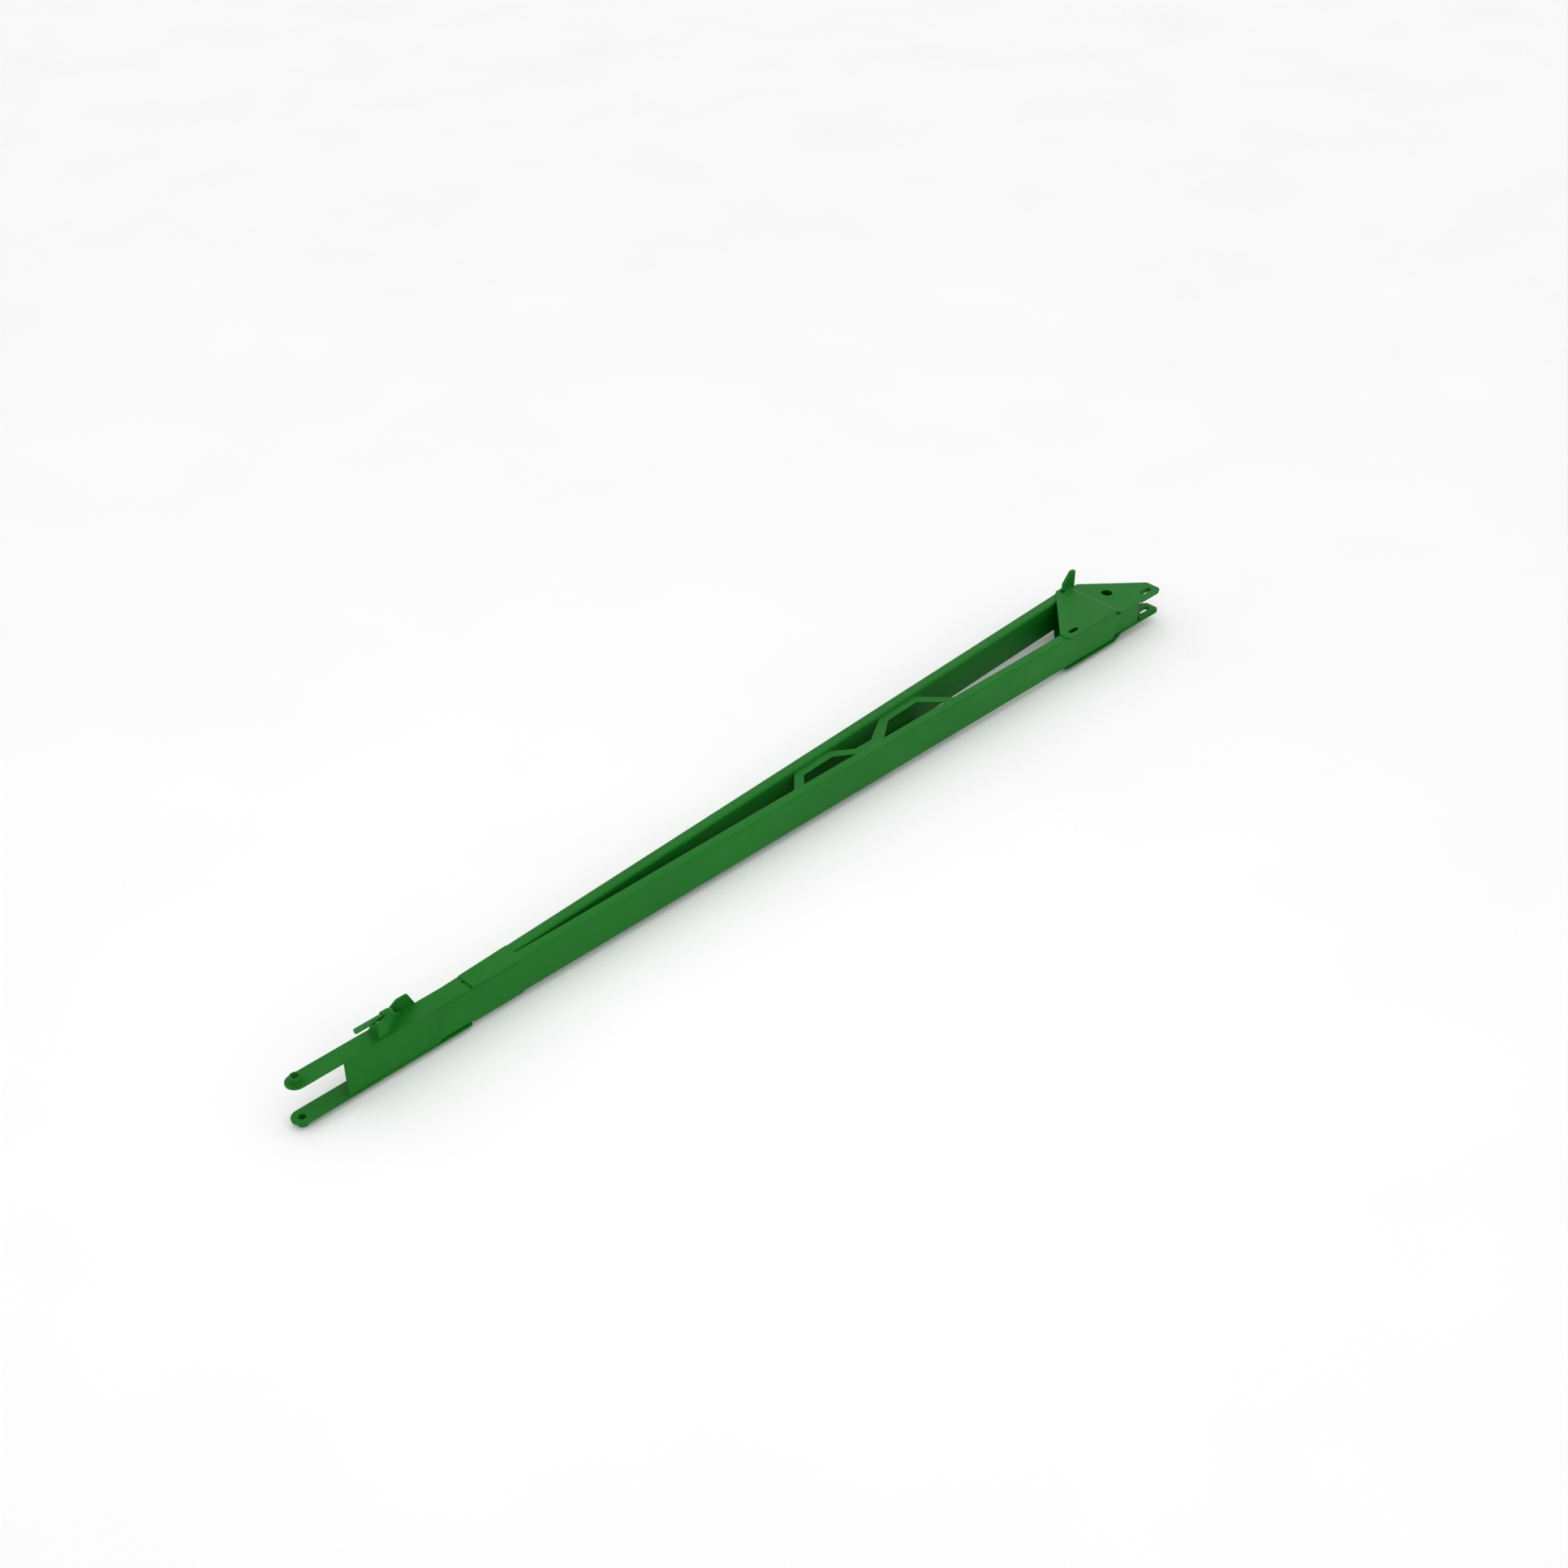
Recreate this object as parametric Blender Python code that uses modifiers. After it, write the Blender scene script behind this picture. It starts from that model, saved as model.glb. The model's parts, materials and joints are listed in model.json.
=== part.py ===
"""Welded A-frame boom arm: a vertical-pin fork, two box-section legs that spread apart, and a slotted head.

Lengths are metres. The design frame has its origin on the fork's pin axis, level with the top of the
upper fork plate: +X runs along the near leg towards the head, +Y towards the far leg, +Z up.
An empty carries that frame, so that the finished arm stands centred on the world origin.
"""
import math

import bmesh
import bpy
from mathutils import Vector

MM = 0.001
GAP = 0.3 * MM            # clearance between two pieces that are welded or rest together
WELD_DISTANCE = 0.01 * MM

# Plate stock and box section
PLATE = 12 * MM
LATTICE_PLATE = 8 * MM
TUBE_HEIGHT = 300 * MM
TUBE_WIDTH = 100 * MM
TUBE_WALL = 8 * MM
TUBE_CORNER = 25 * MM
SPREAD = math.radians(3.281)      # angle between the two legs, seen from above

# Levels, down from the top of the upper fork plate
LEG_TOP = -PLATE
LEG_BOTTOM = LEG_TOP - TUBE_HEIGHT
LOWER_FACE = LEG_BOTTOM - PLATE

# Fork
FORK_HALF_WIDTH = 75 * MM
FORK_LENGTH = 1350 * MM
FORK_END_CORNER = 25 * MM
BOSS_RADIUS = 40 * MM
BOSS_HEIGHT = 46 * MM
BOSS_BORE = 30 * MM
BUSH_BORE = 25 * MM
WEB_START = 327 * MM
FAR_WEB_START = 430 * MM
WEB_FACE = -65 * MM               # outer face of the near web, flush with the near leg

# Legs
LEG_START = 1083 * MM
LEG_END = 8404 * MM
NEAR_LEG_FAR_FACE = WEB_FACE + TUBE_WIDTH
FAR_LEG_OUTER_AT_PIN = 30.8 * MM  # far leg's outer face, carried back to the pin axis

# Splice plates over the crotch
SPLICE_START = 1376 * MM
SPLICE_END = 1808 * MM
SPLICE_INSET = 20 * MM

# Lattice between the legs
LATTICE_DROP = 28 * MM            # from the tube's top face down to the lattice plate

# Head plates: flat over the legs, then stepping in to meet the flat ears
HEAD_START = 7748 * MM
HEAD_NEAR_EDGE = -78 * MM
HEAD_FAR_EDGE = 503 * MM
HEAD_SLANT_FOOT = 22 * MM         # Y where the slanting edge leaves the plate's front edge
HEAD_SLANT_END = 8280 * MM        # X where the slanting edge reaches the far edge
BEND_START = 8410 * MM
BEND_RUN = 88 * MM
BEND_DROP = 50 * MM
BEND_ANGLE = math.atan2(BEND_DROP, BEND_RUN)
BEND_RADIUS = 30 * MM
HEAD_SLOT = (7880 * MM, -16 * MM)
HEAD_SLOT_LENGTH = 115 * MM
HEAD_SLOT_WIDTH = 44 * MM
HEAD_HOLE = (8325 * MM, 459 * MM)
HEAD_HOLE_RADIUS = 23 * MM
END_PLATE_RELIEF = 8 * MM         # room left for the start of the bends
END_PLATE_INSET = 6 * MM

# Ears
EAR_START = 8512 * MM             # butt weld between the stepped head plate and the flat ear
EAR_END = 9045 * MM
EAR_CHAMFER = (9008 * MM, -50 * MM)
EAR_TIP_FAR = 86 * MM             # Y where the slanting far edge meets the tip
EAR_SLANT_START = 8582 * MM
PIVOT_HOLE = (8650 * MM, 223 * MM)
PIVOT_RADIUS = 49 * MM
EAR_SLOT = (8915 * MM, 1 * MM)
EAR_SLOT_LENGTH = 136 * MM
EAR_SLOT_WIDTH = 48 * MM
PAD_START = 8785 * MM
PAD_END = 9036 * MM
PAD_NEAR = -60 * MM
PAD_FAR = 62 * MM
UPPER_PAD_THICKNESS = 33 * MM
LOWER_PAD_THICKNESS = 19 * MM
PAD_CORNER = 12 * MM
NEAR_EAR_WEB_END = 8738 * MM
FAR_EAR_WEB_END = 8565.5 * MM
EAR_WEB_INSET = 12 * MM           # from the ear's edge to the outer face of the web under it
SLANT_WEB_END = 358 * MM          # measured along the slanting edge

# Lug on the head
LUG_START = 8362 * MM
LUG_END = 8504 * MM
LUG_THICKNESS = 31 * MM
LUG_FOOT_HEIGHT = 42 * MM
LUG_TOP = 137 * MM
LUG_CREST = 8451 * MM

# Locking rod and its bracket
ROD_RADIUS = 20 * MM
ROD_HEIGHT = 120 * MM
ROD_START = 474 * MM
ROD_END = 772 * MM
ROD_GROOVE = 545 * MM
ROD_GROOVE_WIDTH = 8 * MM
ROD_GROOVE_RADIUS = 16.5 * MM
CLIP_RADIUS = 18.5 * MM
COLLAR_RADIUS = 25 * MM
ROD_ROOM = 2 * MM                 # clearance where the rod passes the bracket's front plate
SLEEVE_START = 690 * MM
SLEEVE_END = 750 * MM
SLEEVE_RADIUS = 31 * MM
SLEEVE_COPE_LENGTH = 400 * MM
RUNNING_GAP = 0.6 * MM
BRACKET_FRONT = 613 * MM
BRACKET_NEAR = -58 * MM
BRACKET_FAR = 62 * MM
BRACKET_SIDE_END = 689 * MM
BRACKET_PLATE = 10 * MM
BRACKET_HEIGHT = 137 * MM
BRACE_HEIGHT = 152 * MM
BRACE_END = (909 * MM, 62 * MM)
BRACE_SHORTENING = 18 * MM        # keeps the brace's far corner off the fin

ROUND_STEPS = 48
GREEN = (0.018, 0.165, 0.022, 1.0)


def far_leg_outer(x):
    """Y of the far leg's outer face at a given X."""
    return FAR_LEG_OUTER_AT_PIN + x * math.tan(SPREAD)


def far_leg_inner(x):
    """Y of the far leg's inner face at a given X."""
    return far_leg_outer(x) - TUBE_WIDTH / math.cos(SPREAD)


def clear_scene():
    for obj in list(bpy.data.objects):
        bpy.data.objects.remove(obj, do_unlink=True)


def new_collection(name):
    collection = bpy.data.collections.new(name)
    bpy.context.scene.collection.children.link(collection)
    return collection


def painted(name, color=GREEN, roughness=0.45, metallic=0.0):
    material = bpy.data.materials.new(name)
    material.use_nodes = True
    shader = material.node_tree.nodes["Principled BSDF"]
    shader.inputs["Base Color"].default_value = color
    shader.inputs["Roughness"].default_value = roughness
    shader.inputs["Metallic"].default_value = metallic
    material.diffuse_color = color
    return material


def rounded(corners, steps=6):
    """Outline through (x, y, radius) corners, each one replaced by an arc of its radius."""
    outline = []
    count = len(corners)
    for i, (x, y, radius) in enumerate(corners):
        here = Vector((x, y))
        if radius <= 0:
            outline.append(here)
            continue
        back = (Vector(corners[i - 1][:2]) - here).normalized()
        ahead = (Vector(corners[(i + 1) % count][:2]) - here).normalized()
        half_angle = back.angle(ahead) / 2
        reach = radius / math.tan(half_angle)
        centre = here + (back + ahead).normalized() * radius / math.sin(half_angle)
        first = here + back * reach - centre
        turn = first.angle_signed(here + ahead * reach - centre)
        for k in range(steps + 1):
            angle = -turn * k / steps
            arm = Vector((first.x * math.cos(angle) - first.y * math.sin(angle),
                          first.x * math.sin(angle) + first.y * math.cos(angle)))
            outline.append(centre + arm)
    return outline


def circle(center, radius, steps=ROUND_STEPS):
    return [Vector((center[0] + radius * math.cos(2 * math.pi * k / steps),
                    center[1] + radius * math.sin(2 * math.pi * k / steps))) for k in range(steps)]


def slot(center, length, width):
    x, y = center
    half_length = length / 2
    half_width = width / 2
    radius = half_width * 0.999
    return rounded([(x - half_length, y - half_width, radius), (x + half_length, y - half_width, radius),
                    (x + half_length, y + half_width, radius), (x - half_length, y + half_width, radius)], 8)


def add_object(name, mesh, collection, material=None):
    obj = bpy.data.objects.new(name, mesh)
    collection.objects.link(obj)
    if material is not None:
        mesh.materials.append(material)
    return obj


def extruded(name, outline, thickness, collection, material=None, holes=()):
    """Flat plate in the local XY plane, its underside at local z = 0."""
    curve = bpy.data.curves.new(name, "CURVE")
    curve.dimensions = "2D"
    curve.fill_mode = "BOTH"
    curve.extrude = thickness / 2
    for loop in (outline, *holes):
        spline = curve.splines.new("POLY")
        spline.points.add(len(loop) - 1)
        for point, place in zip(spline.points, loop):
            point.co = (place[0], place[1], 0.0, 1.0)
        spline.use_cyclic_u = True
    drawn = bpy.data.objects.new(name + "_outline", curve)
    bpy.context.scene.collection.objects.link(drawn)
    bpy.context.view_layer.update()
    mesh = bpy.data.meshes.new_from_object(drawn.evaluated_get(bpy.context.evaluated_depsgraph_get()))
    bpy.data.objects.remove(drawn, do_unlink=True)
    mesh.name = name
    mesh.materials.clear()
    body = bmesh.new()
    body.from_mesh(mesh)
    bmesh.ops.remove_doubles(body, verts=body.verts, dist=WELD_DISTANCE)
    bmesh.ops.translate(body, verts=body.verts, vec=(0, 0, thickness / 2))
    bmesh.ops.recalc_face_normals(body, faces=body.faces)
    body.to_mesh(mesh)
    body.free()
    return add_object(name, mesh, collection, material)


def stand_in_xz(obj, y_far):
    """Turn a plate drawn in XY so that its outline is in X and Z; its far face is at y_far."""
    obj.rotation_euler = (math.radians(90), 0, 0)
    obj.location.y = y_far


def stand_in_yz(obj, x_start):
    """Turn a plate drawn in XY so that its outline is in Y and Z; it starts at x_start."""
    obj.rotation_euler = (math.radians(90), 0, math.radians(90))
    obj.location.x = x_start


def turned_along_x(name, profile, collection, material):
    """Solid of revolution about local X from (x, radius) points, with a Screw modifier."""
    mesh = bpy.data.meshes.new(name)
    body = bmesh.new()
    verts = [body.verts.new((radius, 0, -x)) for x, radius in profile]
    for first, second in zip(verts, verts[1:]):
        body.edges.new((first, second))
    if profile[0][1] > 0:
        body.edges.new((verts[-1], verts[0]))
    body.to_mesh(mesh)
    body.free()
    obj = add_object(name, mesh, collection, material)
    screw = obj.modifiers.new("turn", "SCREW")
    screw.axis = "Z"
    screw.steps = ROUND_STEPS
    screw.render_steps = ROUND_STEPS
    screw.use_merge_vertices = True
    screw.merge_threshold = WELD_DISTANCE
    screw.use_smooth_shade = True
    obj.rotation_euler = (0, math.radians(-90), 0)
    return obj


def ring(name, inner, outer, height, collection, material):
    """Plain ring about the local Z axis, standing on local z = 0."""
    obj = extruded(name, circle((0, 0), outer), height, collection, material, [circle((0, 0), inner)])
    obj.data.shade_smooth()
    obj.data.set_sharp_from_angle(angle=math.radians(40))
    return obj


def as_cutter(obj):
    obj.hide_render = True
    obj.display_type = "WIRE"
    return obj


def boolean(obj, cutter, operation="DIFFERENCE"):
    cut = obj.modifiers.new(cutter.name, "BOOLEAN")
    cut.operation = operation
    cut.solver = "EXACT"
    cut.object = cutter


# ---------------------------------------------------------------- fork

def fork_plate(name, bottom, collection, frame):
    w = FORK_HALF_WIDTH
    eye = [Vector((w * math.cos(a), w * math.sin(a)))
           for a in (math.radians(90 + 180 * k / 24) for k in range(25))]
    tail = rounded([(0, -w, 0), (FORK_LENGTH, -w, FORK_END_CORNER),
                    (FORK_LENGTH, w, FORK_END_CORNER), (0, w, 0)])
    outline = eye + tail[1:-1]
    obj = extruded(name, outline, PLATE, collection, painted(name), [circle((0, 0), BOSS_BORE)])
    obj.location.z = bottom
    obj.parent = frame


def fork_boss(name, bottom, collection, frame):
    obj = ring(name, BOSS_BORE, BOSS_RADIUS, BOSS_HEIGHT, collection, painted(name))
    obj.location.z = bottom
    obj.parent = frame


def fork_bush(name, bottom, collection, frame):
    height = BOSS_HEIGHT + PLATE + GAP
    obj = ring(name, BUSH_BORE, BOSS_BORE - GAP, height, collection, painted(name))
    obj.location.z = bottom
    obj.parent = frame


def fork_web(name, start, y_far, collection, frame):
    end = LEG_START - GAP
    low = LEG_BOTTOM + GAP
    high = LEG_TOP - GAP
    outline = rounded([(start, low, 0), (end, low, 0), (end, high, 0), (start, high, 0)])
    obj = extruded(name, outline, PLATE, collection, painted(name))
    stand_in_xz(obj, y_far)
    obj.parent = frame


def fork_diaphragm(collection, frame):
    reach = -WEB_FACE - PLATE - GAP
    low = LEG_BOTTOM + GAP
    high = LEG_TOP - GAP
    outline = rounded([(-reach, low, 0), (reach, low, 0), (reach, high, 0), (-reach, high, 0)])
    obj = extruded("fork_diaphragm", outline, PLATE, collection, painted("fork_diaphragm"))
    stand_in_yz(obj, LEG_START - PLATE - GAP)
    obj.parent = frame


def build_fork(collection, frame):
    fork_plate("fork_plate_upper", -PLATE, collection, frame)
    fork_plate("fork_plate_lower", LOWER_FACE, collection, frame)
    fork_boss("fork_boss_upper", GAP, collection, frame)
    fork_boss("fork_boss_lower", LOWER_FACE - GAP - BOSS_HEIGHT, collection, frame)
    fork_bush("fork_bush_upper", -PLATE, collection, frame)
    fork_bush("fork_bush_lower", LOWER_FACE - GAP - BOSS_HEIGHT, collection, frame)
    fork_web("fork_web_near", WEB_START, WEB_FACE + PLATE, collection, frame)
    fork_web("fork_web_far", FAR_WEB_START, -WEB_FACE, collection, frame)
    fork_diaphragm(collection, frame)


# ---------------------------------------------------------------- legs

def box_section(name, length, collection):
    """Rounded box section along local Z, its outline centred on the local origin."""
    def loop(inset):
        x = TUBE_WIDTH / 2 - inset
        y = TUBE_HEIGHT / 2 - GAP - inset
        radius = TUBE_CORNER - inset
        return rounded([(-x, -y, radius), (x, -y, radius), (x, y, radius), (-x, y, radius)], 8)
    obj = extruded(name, loop(0), length, collection, painted(name), [loop(TUBE_WALL)])
    obj.data.shade_smooth()
    obj.data.set_sharp_from_angle(angle=math.radians(40))
    return obj


def vertical_cutter(name, outline, cutters, frame):
    """Prism through the full height of the arm."""
    cutter = as_cutter(extruded(name, outline, 2 * TUBE_HEIGHT, cutters))
    cutter.location.z = LEG_BOTTOM - TUBE_HEIGHT / 2
    cutter.parent = frame
    return cutter


def near_leg(collection, cutters, frame):
    obj = box_section("leg_tube_near", LEG_END - LEG_START, collection)
    obj.rotation_euler = (math.radians(90), 0, math.radians(90))
    obj.location = (LEG_START, WEB_FACE + TUBE_WIDTH / 2, (LEG_TOP + LEG_BOTTOM) / 2)
    obj.parent = frame
    head_slot = slot(HEAD_SLOT, HEAD_SLOT_LENGTH, HEAD_SLOT_WIDTH)
    boolean(obj, vertical_cutter("near_leg_slot", head_slot, cutters, frame))


def far_leg(collection, cutters, frame):
    extra = 100 * MM
    length = (LEG_END - LEG_START) / math.cos(SPREAD) + 2 * extra
    obj = box_section("leg_tube_far", length, collection)
    start = LEG_START - extra
    middle_at_start = (far_leg_outer(start) + far_leg_inner(start)) / 2
    obj.rotation_euler = (math.radians(90), 0, math.radians(90) + SPREAD)
    obj.location = (start, middle_at_start, (LEG_TOP + LEG_BOTTOM) / 2)
    obj.parent = frame
    near_side = NEAR_LEG_FAR_FACE + GAP
    room = [Vector((LEG_START, near_side)), Vector((LEG_END, near_side)),
            Vector((LEG_END, 1.0)), Vector((LEG_START, 1.0))]
    boolean(obj, vertical_cutter("far_leg_room", room, cutters, frame), "INTERSECT")
    boolean(obj, vertical_cutter("head_hole_cut", circle(HEAD_HOLE, HEAD_HOLE_RADIUS), cutters, frame))


def splice_plate(name, bottom, near_edge, collection, frame):
    far_start = far_leg_outer(SPLICE_START) - SPLICE_INSET
    far_end = far_leg_outer(SPLICE_END) - SPLICE_INSET
    outline = rounded([(SPLICE_START, near_edge, 0), (SPLICE_END, near_edge, 0),
                       (SPLICE_END, far_end, 0), (SPLICE_START, far_start, 0)])
    obj = extruded(name, outline, PLATE, collection, painted(name))
    obj.location.z = bottom
    obj.parent = frame


def lattice_plate(name, bottom, collection, frame):
    """Zig-zag plate: two hoops that spring from the near leg and bear on the far leg."""
    foot = NEAR_LEG_FAR_FACE + GAP
    strap = 68 * MM

    def beside_far_leg(x, inset):
        return (x, far_leg_inner(x) - inset, 20 * MM)

    corners = [
        (4560 * MM, foot, 0), beside_far_leg(4728 * MM, 2 * GAP), beside_far_leg(5140 * MM, 2 * GAP),
        (5312 * MM, foot + strap, 20 * MM), (5492 * MM, foot + strap, 20 * MM),
        beside_far_leg(5752 * MM, 2 * GAP), beside_far_leg(6195 * MM, 2 * GAP), (6430 * MM, foot, 0),
        (6326 * MM, foot, 0), beside_far_leg(6150 * MM, strap), beside_far_leg(5792 * MM, strap),
        (5566 * MM, foot, 0),
        (5284 * MM, foot, 0), beside_far_leg(5106 * MM, strap), beside_far_leg(4768 * MM, strap),
        (4672 * MM, foot, 0)]
    obj = extruded(name, rounded(corners), LATTICE_PLATE, collection, painted(name))
    obj.location.z = bottom
    obj.parent = frame


def build_legs(collection, cutters, frame):
    near_leg(collection, cutters, frame)
    far_leg(collection, cutters, frame)
    splice_plate("splice_plate_upper", -PLATE, -FORK_HALF_WIDTH, collection, frame)
    splice_plate("splice_plate_lower", LOWER_FACE, -50 * MM, collection, frame)
    lattice_plate("lattice_plate_upper", LEG_TOP - LATTICE_DROP - LATTICE_PLATE, collection, frame)
    lattice_plate("lattice_plate_lower", LEG_BOTTOM + LATTICE_DROP, collection, frame)


# ---------------------------------------------------------------- head

def stepped_path(start, end, level, outer_bend_first):
    """Corners in X and Z of a line that steps down by BEND_DROP with rounded bends.

    The two faces of one bent plate differ in their radii and in where they turn.
    """
    tight = BEND_RADIUS - PLATE
    first = BEND_RADIUS if outer_bend_first else tight
    second = tight if outer_bend_first else BEND_RADIUS
    bend = BEND_START if outer_bend_first else BEND_START - PLATE * math.tan(BEND_ANGLE / 2)
    return [(start, level, 0), (bend, level, first), (bend + BEND_RUN, level - BEND_DROP, second),
            (end, level - BEND_DROP, 0)]


def turned_over(obj):
    """Mirror a plate drawn in X and Z about the arm's middle plane."""
    body = bmesh.new()
    body.from_mesh(obj.data)
    for vert in body.verts:
        vert.co.y = LOWER_FACE - vert.co.y
    bmesh.ops.reverse_faces(body, faces=body.faces)
    body.to_mesh(obj.data)
    body.free()


def head_outline():
    return rounded([
        (HEAD_START, HEAD_NEAR_EDGE, 40 * MM), (EAR_START, HEAD_NEAR_EDGE, 0), (EAR_START, HEAD_FAR_EDGE, 0),
        (HEAD_SLANT_END, HEAD_FAR_EDGE, 20 * MM), (HEAD_START, HEAD_SLANT_FOOT, 20 * MM)])


def head_plate(name, collection, cutters, frame):
    """Plate that lies flat over both legs and steps in towards the middle."""
    margin = 60 * MM
    top = stepped_path(HEAD_START - margin, EAR_START + margin, 0, True)
    underside = stepped_path(HEAD_START - margin, EAR_START + margin, -PLATE, False)
    depth = HEAD_FAR_EDGE - HEAD_NEAR_EDGE + 2 * margin
    obj = extruded(name, rounded(top + underside[::-1]), depth, collection, painted(name))
    stand_in_xz(obj, HEAD_FAR_EDGE + margin)
    obj.parent = frame
    boolean(obj, vertical_cutter(name + "_outline", head_outline(), cutters, frame), "INTERSECT")
    head_slot = slot(HEAD_SLOT, HEAD_SLOT_LENGTH, HEAD_SLOT_WIDTH)
    boolean(obj, vertical_cutter(name + "_slot", head_slot, cutters, frame))
    boolean(obj, vertical_cutter(name + "_hole", circle(HEAD_HOLE, HEAD_HOLE_RADIUS), cutters, frame))
    return obj


def head_end_plate(collection, frame):
    far = far_leg_outer(LEG_END) - END_PLATE_INSET
    low = LEG_BOTTOM + END_PLATE_RELIEF
    high = LEG_TOP - END_PLATE_RELIEF
    outline = [(WEB_FACE, low), (far, low), (far, high), (WEB_FACE, high)]
    obj = extruded("head_end_plate", outline, PLATE, collection, painted("head_end_plate"))
    stand_in_yz(obj, LEG_END + GAP)
    obj.parent = frame


def head_lug(collection, frame):
    foot = stepped_path(LUG_START, LUG_END, GAP, True)
    crown = [(LUG_END, LUG_TOP, 12 * MM), (LUG_CREST, LUG_TOP, 15 * MM),
             (LUG_START, LUG_FOOT_HEIGHT, 10 * MM)]
    obj = extruded("head_lug", rounded(foot + crown), LUG_THICKNESS, collection, painted("head_lug"))
    stand_in_xz(obj, HEAD_FAR_EDGE)
    obj.parent = frame


# ---------------------------------------------------------------- ears

def ear_plate(name, bottom, collection, frame):
    start = EAR_START + GAP
    outline = rounded([
        (start, HEAD_NEAR_EDGE, 0), (EAR_CHAMFER[0], HEAD_NEAR_EDGE, 8 * MM),
        (EAR_END, EAR_CHAMFER[1], 8 * MM), (EAR_END, EAR_TIP_FAR, 12 * MM),
        (EAR_SLANT_START, HEAD_FAR_EDGE, 10 * MM), (start, HEAD_FAR_EDGE, 0)])
    holes = [circle(PIVOT_HOLE, PIVOT_RADIUS), slot(EAR_SLOT, EAR_SLOT_LENGTH, EAR_SLOT_WIDTH)]
    obj = extruded(name, outline, PLATE, collection, painted(name), holes)
    obj.location.z = bottom
    obj.parent = frame


def ear_pad(name, bottom, thickness, collection, frame):
    """Thick pad on the inner face of an ear, with the ear's slot running through it."""
    outline = rounded([(PAD_START, PAD_NEAR, PAD_CORNER), (PAD_END, PAD_NEAR, PAD_CORNER),
                       (PAD_END, PAD_FAR, PAD_CORNER), (PAD_START, PAD_FAR, PAD_CORNER)])
    pad_slot = slot(EAR_SLOT, EAR_SLOT_LENGTH, EAR_SLOT_WIDTH)
    obj = extruded(name, outline, thickness, collection, painted(name), [pad_slot])
    obj.location.z = bottom
    obj.parent = frame


def ear_web(name, end, y_far, collection, frame):
    """Web in X and Z between the two ears; it leaves the corners under the bends open."""
    start = LEG_END + PLATE + 2 * GAP
    low = LEG_BOTTOM + BEND_DROP + GAP
    high = LEG_TOP - BEND_DROP - GAP
    outline = [(start, low), (end, low), (end, high), (start, high)]
    obj = extruded(name, outline, PLATE, collection, painted(name))
    stand_in_xz(obj, y_far)
    obj.parent = frame


def slant_web(collection, frame):
    """Web under the slanting far edge of the ears."""
    corner = Vector((EAR_SLANT_START, HEAD_FAR_EDGE))
    along = (Vector((EAR_END, EAR_TIP_FAR)) - corner).normalized()
    inward = Vector((along.y, -along.x))
    first = corner + inward * EAR_WEB_INSET
    last = first + along * SLANT_WEB_END
    low = LEG_BOTTOM + BEND_DROP + GAP
    height = TUBE_HEIGHT - 2 * BEND_DROP - 2 * GAP
    outline = [first, last, last + inward * PLATE, first + inward * PLATE]
    obj = extruded("ear_web_slant", outline, height, collection, painted("ear_web_slant"))
    obj.location.z = low
    obj.parent = frame


def build_head(collection, cutters, frame):
    head_plate("head_plate_upper", collection, cutters, frame)
    turned_over(head_plate("head_plate_lower", collection, cutters, frame))
    head_end_plate(collection, frame)
    head_lug(collection, frame)
    ear_plate("ear_plate_upper", -PLATE - BEND_DROP, collection, frame)
    ear_plate("ear_plate_lower", LOWER_FACE + BEND_DROP, collection, frame)
    pad_bottom = -PLATE - BEND_DROP - GAP - UPPER_PAD_THICKNESS
    ear_pad("ear_pad_upper", pad_bottom, UPPER_PAD_THICKNESS, collection, frame)
    pad_bottom = LOWER_FACE + BEND_DROP + PLATE + GAP
    ear_pad("ear_pad_lower", pad_bottom, LOWER_PAD_THICKNESS, collection, frame)
    ear_web("ear_web_near", NEAR_EAR_WEB_END, WEB_FACE + PLATE, collection, frame)
    ear_web("ear_web_far", FAR_EAR_WEB_END, HEAD_FAR_EDGE - EAR_WEB_INSET, collection, frame)
    slant_web(collection, frame)


# ---------------------------------------------------------------- locking rod

def rod_bracket(collection, cutters, frame):
    """Support under the rod: a cross wall, a short side wall and a brace, coped to the rod and the sleeve."""
    front = rounded([
        (BRACKET_NEAR, GAP, 0), (BRACKET_FAR, GAP, 0), (BRACKET_FAR, 10 * MM, 8 * MM),
        (14 * MM, 102 * MM, 0), (-30 * MM, BRACKET_HEIGHT, 0), (BRACKET_NEAR, BRACKET_HEIGHT, 0)])
    cross = extruded("rod_bracket_front", front, BRACKET_PLATE, collection, painted("rod_bracket_front"))
    stand_in_yz(cross, BRACKET_FRONT)
    cross.parent = frame
    rod_room = circle((0, ROD_HEIGHT), ROD_RADIUS + ROD_ROOM)
    cope = as_cutter(extruded("rod_cope", rod_room, 3 * BRACKET_PLATE, cutters))
    stand_in_yz(cope, BRACKET_FRONT - BRACKET_PLATE)
    cope.parent = frame
    boolean(cross, cope)
    start = BRACKET_FRONT + BRACKET_PLATE + GAP
    side = [(start, GAP), (BRACKET_SIDE_END, GAP), (BRACKET_SIDE_END, BRACE_HEIGHT), (start, BRACKET_HEIGHT)]
    wall = extruded("rod_bracket_side", side, BRACKET_PLATE, collection, painted("rod_bracket_side"))
    stand_in_xz(wall, BRACKET_NEAR + BRACKET_PLATE)
    wall.parent = frame
    rod_brace(collection, cutters, frame)


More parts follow.
